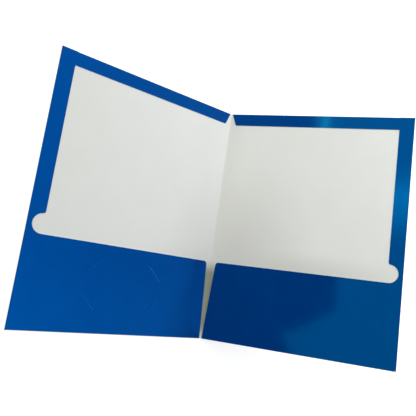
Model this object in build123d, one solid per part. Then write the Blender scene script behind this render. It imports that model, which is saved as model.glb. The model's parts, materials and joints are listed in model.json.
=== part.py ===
from build123d import *
import os

# A two-pocket folder, standing open on its left cover. The real one is a single sheet of board, white
# inside and film-coated in colour outside, creased and folded into two covers that each carry a pocket.
# Along the fore edge and the top edge the sheet is turned in and glued down, which stiffens the cover.
# The side flap is folded last: it climbs over the end of the pocket, drops to the cover beside the
# thumb notch, and climbs again over the end of the top flap.
# Millimetres. Each half is first drawn flat: x from the spine to the fore edge, y from mid-height
# towards the top edge, z from the outside face to the inside.

# Overall sizes
cover_width = 238.125
cover_height = 298.45
opening_angle = 120.8

# Sheet and glue
film_thickness = 0.05
board_thickness = 0.30
glue_thickness = 0.10

# Turned-in flaps
side_flap_width = 17.5
top_flap_width = 15.9
top_flap_start = 1.7
top_flap_slant = 5.9
top_flap_corner_radius = 1.8
fold_reach = 1.2
tuck_clearance = 0.3
side_flap_trim = 1.5
climb_length = 4.0

# Pockets
pocket_height = 97.0
pocket_gap = 0.4
pocket_start = 1.3
pocket_slant = 5.2
pocket_corner_radius = 4.0

# Line on which a pocket bends when its free corner is lifted
flex_start_height = 7.0
flex_end_distance = 176.0

# Thumb notch beside the top edge of each pocket
notch_radius = 10.7
notch_web = 5.5
notch_corner_radius = 2.5

# Slits that hold the corners of a card, on the left pocket
card_width = 88.9
card_height = 50.8
card_centre_height = 52.0
slit_inset = 5.8
slit_length = 22.0
slit_width = 0.3
slit_angle = 45

# Glue lines
glue_margin = 3.0

# Room left between the two halves when the folder is shut
closed_clearance = 0.3

# Levels above the outside face
sheet = film_thickness + board_thickness
pocket_level = sheet + pocket_gap
flap_level = sheet + glue_thickness
flap_over_pocket_level = pocket_level + sheet + glue_thickness
flap_over_flap_level = flap_level + sheet + glue_thickness
hinge_level = flap_over_pocket_level + sheet + closed_clearance / 2

# Lines across the flat half
top_edge = cover_height / 2
bottom_edge = -top_edge
panel_end = cover_width - fold_reach
panel_top = top_edge - fold_reach
panel_bottom = bottom_edge + fold_reach
tuck_end = panel_end - tuck_clearance
side_flap_edge = cover_width - side_flap_width
top_flap_edge = top_edge - top_flap_width
pocket_top = bottom_edge + pocket_height
notch_top = pocket_top + 2 * notch_radius
climb_start = top_flap_edge - climb_length
climb_end = top_flap_edge - tuck_clearance

rise = 180 - opening_angle
hinge = Axis((0, 0, hinge_level), (0, -1, 0))


def span(x_low, x_high, y_low, y_high):
    """Rectangle between two pairs of limits."""
    return Pos((x_low + x_high) / 2, (y_low + y_high) / 2) * Rectangle(x_high - x_low, y_high - y_low)


def plate(outline, level, thickness):
    """Flat outline made solid from a level upwards."""
    return extrude(Pos(0, 0, level) * outline, amount=thickness)


def fold_section(gap):
    """Section of an edge turned over a gap: outermost point at x = 0, outside face at y = 0."""
    bend = sheet + gap / 2
    depth = 2 * sheet + gap
    outside = ThreePointArc((-bend, 0), (0, bend), (-bend, depth))
    inside = ThreePointArc((-bend, sheet + gap), (gap / 2 - bend, bend), (-bend, sheet))
    turned_leg = Polyline((-bend, depth), (-fold_reach, depth), (-fold_reach, sheet + gap), (-bend, sheet + gap))
    cover_leg = Polyline((-bend, sheet), (-fold_reach, sheet), (-fold_reach, 0), (-bend, 0))
    return make_face(outside + turned_leg + inside + cover_leg)


def side_flap_stations():
    """Heights along the fore edge where the side flap changes level, with its level there."""
    return [
        (bottom_edge, flap_over_pocket_level),
        (pocket_top, flap_over_pocket_level),
        (notch_top, flap_level),
        (climb_start, flap_level),
        (climb_end, flap_over_flap_level),
        (top_edge, flap_over_flap_level),
    ]


def cover_outline():
    """Cover between its folds, with a tongue at each end of the spine where nothing is turned over."""
    panel = span(0, panel_end, panel_bottom, panel_top)
    bottom_tongue = span(0, pocket_start, bottom_edge, panel_bottom)
    top_tongue = span(0, top_flap_start, panel_top, top_edge)
    return panel + bottom_tongue + top_tongue


def top_flap_outline():
    """Flap turned down from the top edge, slanted and rounded at the spine, tucked in at the fore edge."""
    lower_start = top_flap_start + top_flap_slant
    outline = Polygon(
        (top_flap_start, panel_top),
        (lower_start, top_flap_edge),
        (tuck_end, top_flap_edge),
        (tuck_end, panel_top),
        align=None,
    )
    corner = outline.vertices().sort_by_distance((lower_start, top_flap_edge))[0]
    return fillet(corner, top_flap_corner_radius)


def side_flap_outline():
    """Flap turned in from the fore edge, with the thumb notch cut just above the pocket."""
    flap = span(side_flap_edge, panel_end, bottom_edge + side_flap_trim, top_edge)
    notch_x = cover_width - notch_web - notch_radius
    notch_y = pocket_top + notch_radius
    round_end = Pos(notch_x, notch_y) * Circle(notch_radius)
    square_floor = span(notch_x - notch_radius, notch_x, pocket_top, notch_y)
    outline = flap - (round_end + square_floor)
    corner = outline.vertices().sort_by_distance((side_flap_edge, notch_top))[0]
    return fillet(corner, notch_corner_radius)


def side_flap():
    """Side flap with its two changes of level."""
    stations = side_flap_stations()
    underside = [(y, level) for y, level in stations]
    upper_side = [(y, level + sheet) for y, level in reversed(stations)]
    profile = Plane.YZ * Polygon(*underside, *upper_side, align=None)
    return extrude(profile, amount=cover_width) & plate(side_flap_outline(), 0, hinge_level)


def side_fold():
    """Turned fore edge, tight on the bare cover and wider where it wraps the pocket and the top flap."""
    sections = []
    for y, level in side_flap_stations():
        across = Plane(origin=(cover_width, y, 0), x_dir=(1, 0, 0), z_dir=(0, -1, 0))
        sections.append(across * fold_section(level - sheet))
    return loft(sections, ruled=True)


def top_fold():
    """Turned top edge, from the flap's spine end to the fore edge's own fold."""
    across = Plane(origin=(top_flap_start, top_edge, 0), x_dir=(0, 1, 0), z_dir=(1, 0, 0))
    return extrude(across * fold_section(glue_thickness), amount=panel_end - top_flap_start)


def pocket_fold():
    """Turned bottom edge that carries the pocket."""
    across = Plane(origin=(tuck_end, bottom_edge, 0), x_dir=(0, -1, 0), z_dir=(-1, 0, 0))
    return extrude(across * fold_section(pocket_gap), amount=tuck_end - pocket_start)


def pocket_outline(with_slits):
    """Pocket front: slanted free edge at the spine, with its upper corner rounded."""
    top_start = pocket_start + pocket_slant
    outline = Polygon(
        (pocket_start, panel_bottom),
        (tuck_end, panel_bottom),
        (tuck_end, pocket_top),
        (top_start, pocket_top),
        align=None,
    )
    corner = outline.vertices().sort_by_distance((top_start, pocket_top))[0]
    outline = fillet(corner, pocket_corner_radius)
    if with_slits:
        outline -= card_slits()
    return outline


def card_slits():
    """Four slits across the corners of a card centred on the pocket's width."""
    centre_y = bottom_edge + card_centre_height
    slits = []
    for side in (-1, 1):
        for end in (-1, 1):
            x = cover_width / 2 + side * (card_width / 2 - slit_inset)
            y = centre_y + end * (card_height / 2 - slit_inset)
            turn = Rot(0, 0, -side * end * slit_angle)
            slits.append(Pos(x, y) * turn * Rectangle(slit_length, slit_width))
    return slits


def free_corner_side():
    """Everything on the free-corner side of the line on which the pocket bends."""
    start_share = flex_start_height / pocket_height
    start = Vector(pocket_start + start_share * pocket_slant, bottom_edge + flex_start_height)
    end = Vector(flex_end_distance, pocket_top)
    along = end - start
    before = start - along
    after = end + along
    return Polygon((before.X, before.Y), (after.X, after.Y), (before.X, after.Y), align=None)


def folder_half(with_slits):
    """All the pieces of one half, drawn flat with the outside face down."""
    cover = cover_outline()
    pocket = pocket_outline(with_slits)
    free_side = free_corner_side()
    inner_glue = side_flap_edge + glue_margin
    outer_glue = tuck_end - glue_margin
    top_glue = span(
        top_flap_start + top_flap_slant + glue_margin,
        side_flap_edge - glue_margin,
        top_flap_edge + glue_margin,
        panel_top - glue_margin,
    )
    side_glue = span(inner_glue, outer_glue, notch_top + glue_margin, climb_start - glue_margin)
    corner_glue = span(inner_glue, outer_glue, top_flap_edge + glue_margin, panel_top - glue_margin)
    pocket_glue = span(inner_glue, outer_glue, panel_bottom + glue_margin, pocket_top - glue_margin)
    return {
        "cover_film": plate(cover, 0, film_thickness),
        "cover_board": plate(cover, film_thickness, board_thickness),
        "top_fold": top_fold(),
        "top_flap": plate(top_flap_outline(), flap_level, sheet),
        "top_flap_glue": plate(top_glue, sheet, glue_thickness),
        "side_fold": side_fold(),
        "side_flap": side_flap(),
        "side_flap_glue": plate(side_glue, sheet, glue_thickness),
        "corner_glue": plate(corner_glue, flap_level + sheet, glue_thickness),
        "pocket_fold": pocket_fold(),
        "pocket_panel": plate(pocket - free_side, pocket_level, sheet),
        "pocket_corner": plate(pocket & free_side, pocket_level, sheet),
        "pocket_glue": plate(pocket_glue, pocket_level + sheet, glue_thickness),
    }


def crease_strip(level, thickness):
    """Strip of the sheet that bends round the spine, from the end of one cover to the end of the other."""
    end_face = Plane.YZ * Pos(0, level + thickness / 2) * Rectangle(cover_height, thickness)
    return revolve(end_face, axis=hinge, revolution_arc=rise)


left_half = folder_half(with_slits=True)
right_half = folder_half(with_slits=False)

pieces = {}
for name, piece in left_half.items():
    pieces["left_" + name] = piece.mirror(Plane.YZ)
for name, piece in right_half.items():
    pieces["right_" + name] = piece.rotate(hinge, rise)
pieces["spine_film"] = crease_strip(0, film_thickness)
pieces["spine_crease"] = crease_strip(film_thickness, board_thickness)

# The origin is the middle of the left cover's outside face, which lies on the table.
to_origin = Pos(cover_width / 2, 0, 0)

os.makedirs("parts", exist_ok=True)
for name, piece in pieces.items():
    export_step(to_origin * piece, f"parts/{name}.step")

print("spine hinge at", cover_width / 2, 0, hinge_level, "rise", rise)
print("pocket bends at level", pocket_level + sheet)
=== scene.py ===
import json
import math

import bmesh
import bpy
import numpy as np
from mathutils import Matrix, Vector
from mathutils.geometry import delaunay_2d_cdt


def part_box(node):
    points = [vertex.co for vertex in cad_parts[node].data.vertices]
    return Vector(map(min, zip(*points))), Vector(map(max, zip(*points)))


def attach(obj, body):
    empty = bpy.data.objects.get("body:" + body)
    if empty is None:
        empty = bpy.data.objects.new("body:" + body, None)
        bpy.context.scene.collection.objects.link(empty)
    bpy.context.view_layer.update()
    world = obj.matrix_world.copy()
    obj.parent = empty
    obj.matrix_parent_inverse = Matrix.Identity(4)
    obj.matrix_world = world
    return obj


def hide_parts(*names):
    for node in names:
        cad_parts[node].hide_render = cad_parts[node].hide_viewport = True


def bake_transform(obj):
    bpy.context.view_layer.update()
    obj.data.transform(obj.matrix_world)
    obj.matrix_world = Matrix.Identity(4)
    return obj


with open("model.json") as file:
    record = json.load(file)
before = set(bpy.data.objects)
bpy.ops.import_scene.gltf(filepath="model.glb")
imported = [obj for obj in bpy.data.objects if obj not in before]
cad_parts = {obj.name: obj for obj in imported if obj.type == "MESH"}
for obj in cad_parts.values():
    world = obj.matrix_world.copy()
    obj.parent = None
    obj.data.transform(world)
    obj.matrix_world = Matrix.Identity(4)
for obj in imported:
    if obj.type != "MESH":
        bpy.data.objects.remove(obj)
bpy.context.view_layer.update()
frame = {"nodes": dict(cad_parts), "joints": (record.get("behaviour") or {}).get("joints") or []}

# Looks of a two-pocket folder of film-coated board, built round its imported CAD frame. Metres.
# Each half is worked on flat: u from the spine to the fore edge, v from mid-height to the top edge,
# w from the outside face to the inside. A matrix for each half takes it to and from its place.

JOINTS = {joint["name"]: joint for joint in frame["joints"]}
HINGE = Vector(JOINTS["spine_fold"]["pos_m"])
RISE = math.radians(JOINTS["spine_fold"]["range_deg"][1])
SIDES = ("left", "right")
FILM_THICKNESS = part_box("left_cover_film")[1].z
SHEET_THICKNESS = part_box("left_cover_board")[1].z

# Mesh detail
WELD = 1e-6
MM = 1000
GRID = 0.007
GRID_FROM_EDGE = 0.3 * GRID
CDT_HULL = 0
CDT_TOLERANCE_MM = 1e-5
LOOKS_UP = 0.5
LOOKS_ALONG = 0.9
STRAIGHT_ON = 0.02
RIM = 0.00003
SLIT_CLOSING = 0.0001
SLIT_LIP = 0.00014
SLIT_CURL = 0.0012
CLIMB_EASE = 0.0025
CLIMB_SAMPLES = 9
SMOOTH_ANGLE = math.radians(35)
CREASE_STEPS = 16
CREASE_RUNS = 48
CREASE_BEAD = 0.0002
PRESS_DEPTH = 0.00003
PRESS_WIDTH = 0.002
PRESS_LINES = 7

# Painted shade on the board: in the valley by the pockets' mouths, by the mouth of the right pocket,
# and between the pockets; painted light and shade along the crease.
# The paint starts at the reach and is full at the core.
VALLEY_SHADE_PLACE = HINGE + Vector((0.018, -0.052, 0.030))
VALLEY_SHADE_REACH = 0.11
MOUTH_SHADE_PLACE = HINGE + Vector((0.050, -0.052, 0.085))
MOUTH_SHADE_REACH = 0.030
CREASE_ACROSS = Vector((math.cos(RISE / 2), 0, math.sin(RISE / 2)))
CREASE_SHARPNESS = 0.0006
CREASE_REACH = 0.030
GAP_PLACE = HINGE + Vector((0, -0.1005, 0))
GAP_REACH = 0.020
GAP_CORE = 0.012
GAP_HALF_LENGTH = 0.053

# Painted highlights on the lips of the slits
LIP_HIGHLIGHT_PLACE = HINGE + Vector((-0.079, -0.079, 0))
LIP_HIGHLIGHT_REACH = 0.040
LIP_HIGHLIGHT_CORE = 0.010
SOFT_LIP_HIGHLIGHT_PLACE = HINGE + Vector((-0.152, -0.123, 0))
SOFT_LIP_HIGHLIGHT_REACH = 0.026
SOFT_LIP_HIGHLIGHT_CORE = 0.006

# Colours, as linear values
FILM_BLUE = (0.0, 0.025, 0.166, 1.0)
FILM_BLUE_LIGHT = (0.0, 0.028, 0.180, 1.0)
FILM_GLOSS_TINT = (0.0, 0.42, 1.0, 1.0)
# Lips of the slits: lighter blues, painted highlights where the film's lips catch the light
LIP_FAINT = (0.003, 0.068, 0.262, 1.0)
LIP_FAINT_LIGHT = (0.005, 0.084, 0.292, 1.0)
LIP_HIGHLIGHT = (0.042, 0.218, 0.468, 1.0)
LIP_SOFT_HIGHLIGHT = (0.015, 0.145, 0.375, 1.0)
BOARD_WHITE = (0.765, 0.77, 0.755, 1.0)
BOARD_SHADE = (0.745, 0.75, 0.735, 1.0)
# Painted light and shade on the board: lighter and darker by the crease, darker by the pockets' mouths
# and between the pockets
BOARD_CREASE_LIGHT = (0.774, 0.779, 0.764, 1.0)
BOARD_CREASE_SHADE = (0.70, 0.705, 0.685, 1.0)
BOARD_VALLEY_SHADE = (0.61, 0.61, 0.59, 1.0)
BOARD_MOUTH_SHADE = (0.61, 0.615, 0.59, 1.0)
BOARD_GAP_SHADE = (0.25, 0.26, 0.20, 1.0)
CORE_WHITE = (0.86, 0.86, 0.84, 1.0)
CORE_SHADE = (0.72, 0.71, 0.67, 1.0)
GLUE_PALE = (0.62, 0.60, 0.50, 1.0)
GLUE_DEEP = (0.50, 0.47, 0.36, 1.0)
WHITE = (1.0, 1.0, 1.0, 1.0)

# Gloss of the matt surfaces, as a specular level
BOARD_SPECULAR = 0.25
CORE_SPECULAR = 0.2

# Places of the Mix node's colour sockets, whose names other sockets share
MIX_FIRST, MIX_SECOND, MIX_RESULT = 6, 7, 2

# Span that most of a noise's values lie in
NOISE_SPAN = (0.3, 0.7)

# Camera at the photograph's viewing angle
CAMERA_PLACE = Vector((-0.29217, -0.07747, 0.53925))
CAMERA_FORWARD = Vector((0.63422, 0.17262, -0.75363))
CAMERA_UP = Vector((-0.21105, 0.97639, 0.04603))
CAMERA_LENS = 44.789
CAMERA_SHIFT = (-0.0875, -0.032)

# Light
NEUTRAL = (1.0, 1.0, 1.0)
COOL = (0.03, 0.62, 1.0)
WARM = (1.0, 1.0, 0.82)
YELLOWISH = (1.0, 1.0, 0.6)
QUARTER_TURN = math.pi / 2
BRIGHT_SIDE = (-0.27, 0.96, 0.0)
BRIGHTENING = (-0.15, 0.85)
SURROUND_LEVELS = (0.33, 1.05)

# Floor
FLOOR_SIZE = 30.0
FLOOR_CELLS = 8
FLOOR_TONE = (0.65, 0.65, 0.65, 1.0)
FLOOR_ROUGHNESS = 0.9
FLOOR_SPECULAR = 0.1
FLOOR_LIFT = 0.58


def flattening(side):
    """Matrix that lays one half flat."""
    if side == "left":
        return Matrix.Scale(-1, 4, (1, 0, 0)) @ Matrix.Translation((-HINGE.x, 0, 0))
    lowered = Matrix.Translation((0, 0, HINGE.z)) @ Matrix.Rotation(RISE, 4, "Y")
    return lowered @ Matrix.Translation((-HINGE.x, 0, -HINGE.z))


FLATTEN = {side: flattening(side) for side in SIDES}


def flat_copy(side, nodes):
    """CAD nodes of one half as one mesh, laid flat."""
    work = bmesh.new()
    for node in nodes:
        work.from_mesh(frame["nodes"][node].data)
    bmesh.ops.remove_doubles(work, verts=work.verts, dist=WELD)
    bmesh.ops.transform(work, matrix=FLATTEN[side], verts=work.verts)
    if side == "left":
        bmesh.ops.reverse_faces(work, faces=work.faces)
    work.normal_update()
    return work


def flat_limits(side, node):
    """Lowest and highest corner of a CAD node in the flat half."""
    work = flat_copy(side, [node])
    corners = np.array([vert.co for vert in work.verts])
    work.free()
    return corners.min(0), corners.max(0)


def new_object(name, data):
    """Object in the scene."""
    made = bpy.data.objects.new(name, data)
    bpy.context.scene.collection.objects.link(made)
    return made


def finished_object(name, work, materials):
    """Object from a mesh that is already in place."""
    mesh = bpy.data.meshes.new(name)
    work.to_mesh(mesh)
    work.free()
    for material in materials:
        mesh.materials.append(material)
    mesh.shade_smooth()
    mesh.set_sharp_from_angle(angle=SMOOTH_ANGLE)
    return new_object(name, mesh)


def placed_object(name, work, side, materials):
    """Object from a flat mesh, put where its half is."""
    bmesh.ops.transform(work, matrix=FLATTEN[side].inverted(), verts=work.verts)
    if side == "left":
        bmesh.ops.reverse_faces(work, faces=work.faces)
    return finished_object(name, work, materials)


def upper_faces(work):
    """Faces that look up when the half lies flat."""
    return [face for face in work.faces if face.normal.z > LOOKS_UP]


def outline_loops(work):
    """Edges of a sheet's upper side as closed loops, the outer one first."""
    upper = upper_faces(work)
    known = set(upper)
    following = {}
    for face in upper:
        for corner in face.loops:
            if not any(other in known for other in corner.edge.link_faces if other is not face):
                following[corner.vert] = corner.link_loop_next.vert
    loops = []
    while following:
        start, here = following.popitem()
        loop = [start.co.xy]
        while here is not start:
            loop.append(here.co.xy)
            here = following.pop(here)
        loops.append(loop)
    return sorted(loops, key=lambda loop: -max(point.length for point in loop))


def divided(loop, step):
    """Loop with its long edges divided."""
    points = []
    for start, end in zip(loop, loop[1:] + loop[:1]):
        parts = max(1, round((end - start).length / step))
        points += [start.lerp(end, part / parts) for part in range(parts)]
    return points


def inset(loop, depth, is_joined):
    """Loop moved into its sheet by a depth, but not where the sheet goes on into a fold."""
    moved = []
    for before, here, after in zip(loop[-1:] + loop[:-1], loop, loop[1:] + loop[:1]):
        first = (here - before).normalized().orthogonal()
        second = (after - here).normalized().orthogonal()
        shift_first = 0 if is_joined((before + here) / 2) else depth
        shift_second = 0 if is_joined((here + after) / 2) else depth
        turn = first.cross(second)
        if abs(turn) < STRAIGHT_ON:
            moved.append(here + (first * shift_first + second * shift_second) / 2)
            continue
        x = (shift_first * second.y - shift_second * first.y) / turn
        y = (shift_second * first.x - shift_first * second.x) / turn
        moved.append(here + Vector((x, y)))
    return moved


def clearance(points, loops):
    """For each point, how far it is from the loops, below zero if it is outside the sheet."""
    nearest = np.full(len(points), np.inf)
    crossings = np.zeros(len(points), int)
    for loop in loops:
        start = np.array(loop)
        end = np.roll(start, -1, axis=0)
        for a, b in zip(start, end):
            along = b - a
            share = np.clip(((points - a) @ along) / (along @ along), 0, 1)
            nearest = np.minimum(nearest, np.linalg.norm(points - a - share[:, None] * along, axis=1))
            spans = (a[1] > points[:, 1]) != (b[1] > points[:, 1])
            rise = along[1] if along[1] else 1
            reach = a[0] + (points[:, 1] - a[1]) / rise * along[0]
            crossings += spans & (points[:, 0] < reach)
    return np.where(crossings % 2 == 1, nearest, -nearest)


def even_steps(low, high, step):
    """Values between two limits, evenly spread."""
    return np.linspace(low, high, max(2, round((high - low) / step)) + 1)[1:-1]


def triangulated(loops, extra_u=(), extra_v=(), extra_points=()):
    """Points and triangles of the area between loops, on a grid with chosen lines and points added."""
    edge = np.array([tuple(point) for loop in loops for point in loop])
    low, high = edge.min(0), edge.max(0)
    across = np.unique(np.concatenate([even_steps(low[0], high[0], GRID), extra_u]))
    up = np.unique(np.concatenate([even_steps(low[1], high[1], GRID), extra_v]))
    inner = np.array([(u, v) for u in across for v in up])
    inner = inner[clearance(inner, loops) > GRID_FROM_EDGE]
    inner = np.concatenate([inner, np.reshape([tuple(point) for point in extra_points], (-1, 2))])
    points = np.concatenate([edge, inner])
    borders = []
    first = 0
    for count in map(len, loops):
        borders += [(first + i, first + (i + 1) % count) for i in range(count)]
        first += count
    in_mm = [Vector(point * MM) for point in points]
    _, _, faces, sources, _, _ = delaunay_2d_cdt(in_mm, borders, [], CDT_HULL, CDT_TOLERANCE_MM)
    triangles = np.array([[sources[i][0] for i in face] for face in faces])
    middle = points[triangles].mean(axis=1)
    return points, triangles[clearance(middle, loops) > 0], borders


def height_along(work):
    """Height of a sheet's upper side at any v, eased where it changes level."""
    upper = sorted({(vert.co.y, vert.co.z) for face in upper_faces(work) for vert in face.verts})
    stations = np.array(upper)
    offsets = np.linspace(-CLIMB_EASE, CLIMB_EASE, CLIMB_SAMPLES)

    def height(v):
        return float(np.mean(np.interp(v + offsets, stations[:, 0], stations[:, 1])))

    return height


# Places of the materials on a coated sheet: its coated face, its bare face, its cut edge, a slit's lip
COATED, BARE, CUT, LIP = range(4)


def sheet_mesh(work, is_joined):
    """Coated sheet with a softened rim and closed slits."""
    height = height_along(work)
    outline, *slits = outline_loops(work)
    loops = [divided(outline, GRID)]
    loops += [divided(inset(slit, -SLIT_CLOSING, lambda point: False), GRID) for slit in slits]
    inner_loops = [inset(loops[0], RIM, is_joined)]
    inner_loops += [inset(slit, SLIT_LIP, is_joined) for slit in loops[1:]]
    around = [point for slit in loops[1:] for point in inset(slit, SLIT_LIP + SLIT_CURL, is_joined)]
    points, triangles, borders = triangulated(inner_loops, extra_points=around)
    outer = [point for loop in loops for point in loop]
    made = bmesh.new()
    top = [made.verts.new((u, v, height(v))) for u, v in points]
    base = []
    rim = []
    for i, (u, v) in enumerate(points):
        if i < len(outer):
            u, v = outer[i]
            drop = min((outer[i] - Vector(points[i])).length, RIM)
            rim.append(made.verts.new((u, v, height(v) - drop)))
        base.append(made.verts.new((u, v, height(v) - SHEET_THICKNESS)))
    for a, b, c in triangles:
        made.faces.new((top[a], top[b], top[c])).material_index = COATED
        made.faces.new((base[c], base[b], base[a])).material_index = BARE
    for a, b in borders:
        at_slit = a >= len(loops[0])
        made.faces.new((top[b], top[a], rim[a], rim[b])).material_index = LIP if at_slit else COATED
        made.faces.new((rim[b], rim[a], base[a], base[b])).material_index = LIP if at_slit else CUT
    bmesh.ops.remove_doubles(made, verts=made.verts, dist=WELD)
    made.normal_update()
    return made


def sheet_piece(name, side, nodes, is_joined, materials):
    """Visual sheet that stands for one or more CAD sheets of a half."""
    work = flat_copy(side, nodes)
    made = placed_object(name, sheet_mesh(work, is_joined), side, materials)
    work.free()
    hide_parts(*nodes)
    return made


def fold_piece(side, node, axis, materials):
    """Turned edge that runs along an axis: coated all round, bare board at its two cut ends."""
    work = flat_copy(side, [node])
    for face in work.faces:
        face.material_index = CUT if abs(face.normal[axis]) > LOOKS_ALONG else COATED
    made = placed_object(node + "_turn", work, side, materials)
    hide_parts(node)
    return made


def smooth_step(value):
    """Rise from 0 to 1 with level ends."""
    share = np.clip(value, 0, 1)
    return share * share * (3 - 2 * share)


def film_piece(side, materials):
    """Outside coating, slightly hollow inside the frame of turned-in flaps that press through it."""
    node = side + "_cover_film"
    work = flat_copy(side, [node])
    loops = [divided(loop, GRID) for loop in outline_loops(work)]
    work.free()
    side_line = flat_limits(side, side + "_side_flap")[0][0]
    top_line = flat_limits(side, side + "_top_flap")[0][1]
    steps = np.linspace(-PRESS_WIDTH, PRESS_WIDTH, PRESS_LINES)
    points, triangles, borders = triangulated(loops, side_line + steps, top_line + steps)
    from_side = smooth_step((side_line - points[:, 0]) / PRESS_WIDTH / 2 + 0.5)
    from_top = smooth_step((top_line - points[:, 1]) / PRESS_WIDTH / 2 + 0.5)
    hollow = PRESS_DEPTH * from_side * from_top
    made = bmesh.new()
    top = [made.verts.new((u, v, FILM_THICKNESS)) for u, v in points]
    base = [made.verts.new((u, v, w)) for (u, v), w in zip(points, hollow)]
    for a, b, c in triangles:
        made.faces.new((top[a], top[b], top[c]))
        made.faces.new((base[c], base[b], base[a]))
    for a, b in borders:
        made.faces.new((top[b], top[a], base[a], base[b]))
    made.normal_update()
    piece = placed_object(node + "_skin", made, side, materials)
    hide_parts(node)
    return piece


def spine_piece(name, node, outer, inner, bead, materials):
    """Strip of the sheet bent round the hinge axis, with the low bead that a score raises inside."""
    low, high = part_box(node)
    made = bmesh.new()
    rings = []
    for step in range(CREASE_STEPS + 1):
        share = step / CREASE_STEPS
        turn = share * RISE
        inside = inner - bead * math.sin(math.pi * share) ** 2
        for radius in (outer, inside):
            x = HINGE.x + radius * math.sin(turn)
            z = HINGE.z - radius * math.cos(turn)
            ys = np.linspace(low.y, high.y, CREASE_RUNS + 1)
            rings.append([made.verts.new((x, y, z)) for y in ys])
    outside_rows, inside_rows = rings[0::2], rings[1::2]
    for rows, flip in ((outside_rows, False), (inside_rows, True)):
        for here, beyond in zip(rows, rows[1:]):
            for i in range(CREASE_RUNS):
                corners = [here[i], here[i + 1], beyond[i + 1], beyond[i]]
                made.faces.new(corners[::-1] if flip else corners)
    for lower, upper in ((outside_rows[0], inside_rows[0]), (inside_rows[-1], outside_rows[-1])):
        for i in range(CREASE_RUNS):
            made.faces.new((lower[i], upper[i], upper[i + 1], lower[i + 1]))
    for end in (0, CREASE_RUNS):
        for step in range(CREASE_STEPS):
            corners = [outside_rows[step][end], outside_rows[step + 1][end]]
            corners += [inside_rows[step + 1][end], inside_rows[step][end]]
            made.faces.new(corners if end == 0 else corners[::-1])
    bmesh.ops.recalc_face_normals(made, faces=made.faces)
    piece = finished_object(name, made, materials)
    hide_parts(node)
    middle = (outer + inner) / 2
    end = HINGE + Vector((middle * math.sin(RISE), 0, -middle * math.cos(RISE)))
    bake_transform(piece)
    return piece


def new_material(name):
    """Node material, with its tree and its shader."""
    material = bpy.data.materials.new(name)
    material.use_nodes = True
    tree = material.node_tree
    return material, tree, tree.nodes["Principled BSDF"]


def object_place(tree):
    """Coordinates in metres, which stay with the object when it moves."""
    return tree.nodes.new("ShaderNodeTexCoord").outputs["Object"]


def feed(tree, value, socket):
    """Links another node's output to an input, or sets the input to a plain value."""
    if isinstance(value, bpy.types.NodeSocket):
        tree.links.new(value, socket)
    else:
        socket.default_value = value


def combined(tree, operation, first, second):
    """Number worked out from two numbers."""
    made = tree.nodes.new("ShaderNodeMath")
    made.operation = operation
    feed(tree, first, made.inputs[0])
    feed(tree, second, made.inputs[1])
    return made.outputs[0]


def component(tree, vector, direction):
    """How far a vector goes along a direction."""
    made = tree.nodes.new("ShaderNodeVectorMath")
    made.operation = "DOT_PRODUCT"
    tree.links.new(vector, made.inputs[0])
    made.inputs[1].default_value = direction
    return made.outputs["Value"]


def mapped(tree, value, source, target=(0, 1), interpolation="LINEAR"):
    """Value taken from one span to another, and kept within it."""
    made = tree.nodes.new("ShaderNodeMapRange")
    made.interpolation_type = interpolation
    tree.links.new(value, made.inputs["Value"])
    made.inputs["From Min"].default_value, made.inputs["From Max"].default_value = source
    made.inputs["To Min"].default_value, made.inputs["To Max"].default_value = target
    return made.outputs["Result"]


def mixed(tree, share, first, second):
    """Colour between two colours."""
    made = tree.nodes.new("ShaderNodeMix")
    made.data_type = "RGBA"
    tree.links.new(share, made.inputs["Factor"])
    feed(tree, first, made.inputs[MIX_FIRST])
    feed(tree, second, made.inputs[MIX_SECOND])
    return made.outputs[MIX_RESULT]


def noise(tree, place, scale, detail, roughness=0.5):
    """Soft random pattern, with its scale in features per metre."""
    made = tree.nodes.new("ShaderNodeTexNoise")
    tree.links.new(place, made.inputs["Vector"])
    made.inputs["Scale"].default_value = scale
    made.inputs["Detail"].default_value = detail
    made.inputs["Roughness"].default_value = roughness
    return made.outputs[0]


def stretched(tree, place, factors):
    """Coordinates stretched along each axis."""
    made = tree.nodes.new("ShaderNodeMapping")
    tree.links.new(place, made.inputs["Vector"])
    made.inputs["Scale"].default_value = factors
    return made.outputs["Vector"]


def ramp(tree, value, colours, span):
    """Colour that goes from one to another as a pattern goes over a span."""
    made = tree.nodes.new("ShaderNodeValToRGB")
    tree.links.new(value, made.inputs["Fac"])
    for end, place, colour in zip(made.color_ramp.elements, span, colours):
        end.position = place
        end.color = colour
    return made.outputs["Color"]


def bumped(tree, height, depth, normal=None):
    """Surface roughened by a pattern, depth in metres."""
    made = tree.nodes.new("ShaderNodeBump")
    made.inputs["Strength"].default_value = 1.0
    made.inputs["Distance"].default_value = depth
    tree.links.new(height, made.inputs["Height"])
    if normal is not None:
        tree.links.new(normal, made.inputs["Normal"])
    return made.outputs["Normal"]


def nearness(tree, place, centre, reach, core=0, stretch=(1, 1, 1)):
    """Share that rises from 0 at a reach to 1 at a core, with distances stretched along each axis."""
    offset = tree.nodes.new("ShaderNodeVectorMath")
    offset.operation = "SUBTRACT"
    tree.links.new(place, offset.inputs[0])
    offset.inputs[1].default_value = centre
    away = tree.nodes.new("ShaderNodeVectorMath")
    away.operation = "LENGTH"
    tree.links.new(stretched(tree, offset.outputs["Vector"], stretch), away.inputs[0])
    return mapped(tree, away.outputs["Value"], (reach, core), interpolation="SMOOTHSTEP")


def beyond_crease(tree, place):
    """Share that goes from 0 on the left cover to 1 on the right one, right at the crease."""
    middle = HINGE.dot(CREASE_ACROSS)
    edges = (middle - CREASE_SHARPNESS / 2, middle + CREASE_SHARPNESS / 2)
    return mapped(tree, component(tree, place, CREASE_ACROSS), edges)


def painted_patchily(tree, place, clean, share, painted_light):
    """Colour that goes over, patchily, to a painted shade or painted highlight."""
    patches = mapped(tree, noise(tree, place, scale=22, detail=3), NOISE_SPAN, target=(0.85, 1.0))
    return mixed(tree, combined(tree, "MULTIPLY", share, patches), clean, painted_light)


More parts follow.
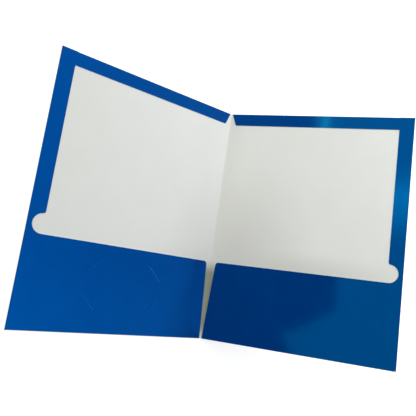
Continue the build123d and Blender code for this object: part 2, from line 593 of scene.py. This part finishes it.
def dress(tree, shader, colour, roughness, normal):
    """Links what varies over a surface to its shader."""
    tree.links.new(colour, shader.inputs["Base Color"])
    tree.links.new(roughness, shader.inputs["Roughness"])
    tree.links.new(normal, shader.inputs["Normal"])


def film_material(name, dark, light, is_lip=False):
    """Blue print under clear glossy film: faint clouding, orange peel and the board's slow waves."""
    material, tree, shader = new_material(name)
    place = object_place(tree)
    cloud = noise(tree, place, scale=45, detail=3)
    colour = ramp(tree, cloud, (dark, light), span=(0.35, 0.65))
    # The lips' lighter blues are painted highlights, strongest round two of the slits.
    if is_lip:
        painted_light = nearness(tree, place, LIP_HIGHLIGHT_PLACE, LIP_HIGHLIGHT_REACH, LIP_HIGHLIGHT_CORE)
        colour = painted_patchily(tree, place, colour, painted_light, LIP_HIGHLIGHT)
        painted_spot = nearness(tree, place, SOFT_LIP_HIGHLIGHT_PLACE, SOFT_LIP_HIGHLIGHT_REACH, SOFT_LIP_HIGHLIGHT_CORE)
        colour = painted_patchily(tree, place, colour, painted_spot, LIP_SOFT_HIGHLIGHT)
    rub_marks = noise(tree, stretched(tree, place, (1, 6, 1)), scale=60, detail=4)
    roughness = mapped(tree, rub_marks, NOISE_SPAN, target=(0.06, 0.10))
    waves = bumped(tree, noise(tree, place, scale=14, detail=1), depth=0.0001)
    peel = bumped(tree, noise(tree, place, scale=420, detail=2), depth=0.000007, normal=waves)
    dress(tree, shader, colour, roughness, peel)
    shader.inputs["Specular Tint"].default_value = FILM_GLOSS_TINT
    return material


def board_material(name):
    """Bare white board: clouding, fine fibres, a dull tooth, painted shade by the pockets and between
    them, and painted light and shade by the crease.
    """
    material, tree, shader = new_material(name)
    place = object_place(tree)
    cloud = noise(tree, place, scale=30, detail=4, roughness=0.6)
    colour = ramp(tree, cloud, (BOARD_SHADE, BOARD_WHITE), span=(0.3, 0.7))
    # Painted light on the left cover by the crease and painted shade on the right one.
    by_crease = nearness(tree, place, HINGE, CREASE_REACH, stretch=(1, 0, 1))
    painted_light = mixed(tree, beyond_crease(tree, place), BOARD_CREASE_LIGHT, BOARD_CREASE_SHADE)
    colour = painted_patchily(tree, place, colour, by_crease, painted_light)
    # Painted shade in the valley by the pockets' mouths at the spine.
    valley_shade = nearness(tree, place, VALLEY_SHADE_PLACE, VALLEY_SHADE_REACH, stretch=(1, 0.7, 1))
    colour = painted_patchily(tree, place, colour, valley_shade, BOARD_VALLEY_SHADE)
    # Painted shade above the mouth of the right pocket.
    painted_spot = nearness(tree, place, MOUTH_SHADE_PLACE, MOUTH_SHADE_REACH, stretch=(0.15, 1, 0.15))
    colour = painted_patchily(tree, place, colour, painted_spot, BOARD_MOUTH_SHADE)
    # Painted shade between the pockets, dark and olive.
    gap_stretch = (1, GAP_REACH / GAP_HALF_LENGTH, 1)
    gap_shade = nearness(tree, place, GAP_PLACE, GAP_REACH, GAP_CORE, gap_stretch)
    colour = painted_patchily(tree, place, colour, gap_shade, BOARD_GAP_SHADE)
    fibres = noise(tree, stretched(tree, place, (1, 3, 1)), scale=700, detail=4, roughness=0.65)
    roughness = mapped(tree, fibres, NOISE_SPAN, target=(0.82, 0.95))
    dress(tree, shader, colour, roughness, bumped(tree, fibres, depth=0.00004))
    shader.inputs["Specular IOR Level"].default_value = BOARD_SPECULAR
    return material


def edge_material(name):
    """Cut edge of the board: pale, layered and slightly torn."""
    material, tree, shader = new_material(name)
    place = object_place(tree)
    layers = noise(tree, stretched(tree, place, (1, 1, 8)), scale=900, detail=4, roughness=0.7)
    colour = ramp(tree, layers, (CORE_SHADE, CORE_WHITE), span=(0.3, 0.7))
    roughness = mapped(tree, layers, NOISE_SPAN, target=(0.85, 1.0))
    dress(tree, shader, colour, roughness, bumped(tree, layers, depth=0.00003))
    shader.inputs["Specular IOR Level"].default_value = CORE_SPECULAR
    return material


def glue_material(name):
    """Thin dried glue, uneven and slightly yellow."""
    material, tree, shader = new_material(name)
    place = object_place(tree)
    smears = noise(tree, stretched(tree, place, (1, 4, 1)), scale=160, detail=4, roughness=0.6)
    colour = ramp(tree, smears, (GLUE_DEEP, GLUE_PALE), span=(0.35, 0.65))
    roughness = mapped(tree, smears, NOISE_SPAN, target=(0.3, 0.5))
    dress(tree, shader, colour, roughness, bumped(tree, smears, depth=0.00003))
    return material


FILM = film_material("blue_film", FILM_BLUE, FILM_BLUE_LIGHT)
LIP_FILM = film_material("lip_film_painted_highlights", LIP_FAINT, LIP_FAINT_LIGHT, is_lip=True)
BOARD = board_material("white_board")
CORE = edge_material("cut_edge")
GLUE = glue_material("dried_glue")
SHEET = [FILM, BOARD, CORE, LIP_FILM]


def give_material(node, material):
    """Material for a CAD node whose shape stays."""
    slots = frame["nodes"][node].data.materials
    slots.clear()
    slots.append(material)


def build_half(side):
    """All the visual pieces of one half but its pocket front."""
    body = side + "_half"
    pieces = [film_piece(side, [FILM])]
    give_material(side + "_cover_board", BOARD)
    for glue in ("top_flap_glue", "side_flap_glue", "corner_glue", "pocket_glue"):
        give_material(side + "_" + glue, GLUE)
    for fold, axis in (("top_fold", 0), ("side_fold", 1), ("pocket_fold", 0)):
        pieces.append(fold_piece(side, side + "_" + fold, axis, SHEET))
    top_line = flat_limits(side, side + "_top_flap")[1][1] - WELD
    side_line = flat_limits(side, side + "_side_flap")[1][0] - WELD
    for flap, is_joined in (
        ("_top_flap", lambda point: point.y > top_line),
        ("_side_flap", lambda point: point.x > side_line),
    ):
        made = sheet_piece(side + flap + "_sheet", side, [side + flap], is_joined, SHEET)
        pieces.append(made)
    for piece in pieces:
        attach(piece, body)


def build_pocket(side):
    """Pocket front of one half as one sheet."""
    nodes = [side + "_pocket_panel", side + "_pocket_corner"]
    fold_line = flat_limits(side, side + "_pocket_fold")[1][1] + WELD
    name = side + "_pocket_sheet"
    pocket = sheet_piece(name, side, nodes, lambda point: point.y < fold_line, SHEET)
    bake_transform(pocket)


def build_spine():
    """Film and board of the spine, bent from one half to the other."""
    outside = HINGE.z
    between = HINGE.z - FILM_THICKNESS
    inside = HINGE.z - SHEET_THICKNESS
    skin = spine_piece("spine_film_skin", "spine_film", outside, between, 0, [FILM])
    strip = spine_piece("spine_crease_strip", "spine_crease", between, inside, CREASE_BEAD, [BOARD])


def facing(place, forward, up):
    """Matrix of a camera or lamp at a place, looking along forward."""
    back = -forward.normalized()
    right = up.cross(back).normalized()
    above = back.cross(right)
    turned = Matrix((right, above, back)).transposed().to_4x4()
    return Matrix.Translation(place) @ turned


def build_camera():
    """Camera with no depth of field."""
    data = bpy.data.cameras.new("camera")
    data.lens = CAMERA_LENS
    data.shift_x, data.shift_y = CAMERA_SHIFT
    made = new_object("camera", data)
    made.matrix_world = facing(CAMERA_PLACE, CAMERA_FORWARD, CAMERA_UP)
    bpy.context.scene.camera = made


def softbox(name, place, forward, up, size, brightness, colour):
    """Flat soft lamp whose face has the given brightness."""
    data = bpy.data.lights.new(name, "AREA")
    data.shape = "RECTANGLE"
    data.size, data.size_y = size
    data.energy = brightness * math.pi * size[0] * size[1]
    data.color = colour
    made = new_object(name, data)
    made.matrix_world = facing(Vector(place), Vector(forward), Vector(up))
    made.visible_camera = False
    return made


def overhead(name, place, size, brightness, colour, lean=0):
    """Softbox that looks straight down, turned so that its long side leans towards +X."""
    up = (math.sin(lean), math.cos(lean), 0)
    return softbox(name, place, (0, 0, -1), up, size, brightness, colour)


def on_wall(name, place, size, brightness, colour, lean=0):
    """Upright softbox to the left, turned so that its upper end leans towards +Y."""
    up = (0, math.sin(lean), math.cos(lean))
    return softbox(name, place, (1, 0, 0), up, size, brightness, colour)


def graded(lamp, direction, stops):
    """Softbox whose brightness changes across its face, along a direction, as stops from 0 to 1 say."""
    lamp.data.use_nodes = True
    tree = lamp.data.node_tree
    on_face = tree.nodes.new("ShaderNodeNewGeometry").outputs["Parametric"]
    level = tree.nodes.new("ShaderNodeValToRGB")
    level.color_ramp.interpolation = "EASE"
    tree.links.new(component(tree, on_face, direction), level.inputs["Fac"])
    ends = level.color_ramp.elements
    for end, (place, share) in zip(ends, (stops[0], stops[-1])):
        end.position = place
        end.color = (share, share, share, 1)
    for place, share in stops[1:-1]:
        ends.new(place).color = (share, share, share, 1)
    result = level.outputs["Color"]
    strength = tree.nodes["Emission"].inputs["Strength"]
    if strength.is_linked:
        result = combined(tree, "MULTIPLY", strength.links[0].from_socket, result)
    tree.links.new(result, strength)


def build_lamps():
    """Soft lamps that light all but the gloss: one above, and a low one that reaches the outside."""
    above = overhead("lamp_above", (0.42, 0.27, 0.60), size=(0.7, 0.3), brightness=3.75, colour=NEUTRAL)
    above.visible_glossy = False
    low = softbox(
        "lamp_right",
        (1.1, 0, 0.14),
        forward=(-1, 0, 0),
        up=(0, 0, 1),
        size=(0.8, 0.26),
        brightness=8,
        colour=NEUTRAL,
    )
    low.visible_glossy = False


def build_panels_above():
    """Cool panels overhead, which only the gloss of the lying half shows."""
    large = overhead(
        "panel_above",
        (0.235, 0.09, 0.62),
        size=(0.72, 0.80),
        brightness=4.3,
        colour=COOL,
        lean=0.15,
    )
    large.visible_diffuse = False
    graded(large, (0.8, 0.2, 0), ((0.25, 1), (0.40, 0.82), (0.52, 0.66), (0.70, 0.59), (1, 0.45)))
    graded(large, (1, -0.2, 0), ((0.80, 1), (0.95, 0.35)))
    near = overhead(
        "panel_above_near",
        (0.22, -0.22, 0.60),
        size=(0.40, 0.75),
        brightness=0.8,
        colour=COOL,
        lean=QUARTER_TURN,
    )
    near.visible_diffuse = False
    graded(near, (1, 0, 0), ((0, 0), (0.45, 1), (1, 1)))


def build_panels_left():
    """Panels and two bright strips on the left, which the raised right half reflects."""
    on_wall("panel_left", (-1.0, -0.02, 0.87), size=(0.76, 0.44), brightness=1.85, colour=WARM)
    on_wall(
        "panel_left_low",
        (-1.0, -0.31, 0.68),
        size=(0.35, 0.3),
        brightness=1.85,
        colour=WARM,
        lean=0.477,
    )
    on_wall("panel_left_high", (-1.0, 0.66, 0.79), size=(0.6, 0.6), brightness=2.3, colour=WARM)
    far = on_wall("panel_left_far", (-1.0, 0.53, 0.31), size=(0.3, 0.34), brightness=0.7, colour=COOL)
    far.visible_diffuse = False
    strip_low = on_wall(
        "strip_low",
        (-0.97, 0.565, 0.530),
        size=(0.05, 0.2),
        brightness=9.5,
        colour=YELLOWISH,
        lean=QUARTER_TURN,
    )
    graded(strip_low, (1, 0, 0), ((0, 0), (0.5, 1), (1, 0)))
    strip_high = on_wall(
        "strip_high",
        (-0.97, 0.309, 0.872),
        size=(0.286, 0.2),
        brightness=4.8,
        colour=NEUTRAL,
        lean=0.17,
    )
    graded(strip_high, (1, 0, 0), ((0, 0), (0.2, 0.3), (0.4, 1), (0.66, 0.6), (1, 0)))


def build_surroundings():
    """Plain surroundings that brighten towards one side."""
    world = bpy.data.worlds.new("surroundings")
    world.use_nodes = True
    tree = world.node_tree
    direction = tree.nodes.new("ShaderNodeTexCoord").outputs["Generated"]
    towards = component(tree, direction, BRIGHT_SIDE)
    level = mapped(tree, towards, BRIGHTENING, SURROUND_LEVELS, interpolation="SMOOTHSTEP")
    background = tree.nodes["Background"]
    background.inputs["Color"].default_value = WHITE
    tree.links.new(level, background.inputs["Strength"])
    bpy.context.scene.world = world


def build_floor():
    """Plain pale floor that shows white to the camera and keeps the object's shadow."""
    work = bmesh.new()
    bmesh.ops.create_grid(work, x_segments=FLOOR_CELLS, y_segments=FLOOR_CELLS, size=FLOOR_SIZE)
    mesh = bpy.data.meshes.new("floor")
    work.to_mesh(mesh)
    work.free()
    floor = new_object("floor", mesh)
    material, tree, shader = new_material("floor")
    shader.inputs["Base Color"].default_value = FLOOR_TONE
    shader.inputs["Roughness"].default_value = FLOOR_ROUGHNESS
    shader.inputs["Specular IOR Level"].default_value = FLOOR_SPECULAR
    shader.inputs["Emission Color"].default_value = WHITE
    path = tree.nodes.new("ShaderNodeLightPath")
    seen = path.outputs["Is Camera Ray"]
    for kind in ("Is Glossy Ray", "Is Transmission Ray"):
        seen = combined(tree, "MAXIMUM", seen, path.outputs[kind])
    lift = combined(tree, "MULTIPLY", seen, FLOOR_LIFT)
    tree.links.new(lift, shader.inputs["Emission Strength"])
    mesh.materials.append(material)


for each_side in SIDES:
    build_half(each_side)
    build_pocket(each_side)
build_spine()
build_camera()
build_surroundings()
build_lamps()
build_panels_above()
build_panels_left()
build_floor()
bpy.context.scene.view_settings.view_transform = "Standard"
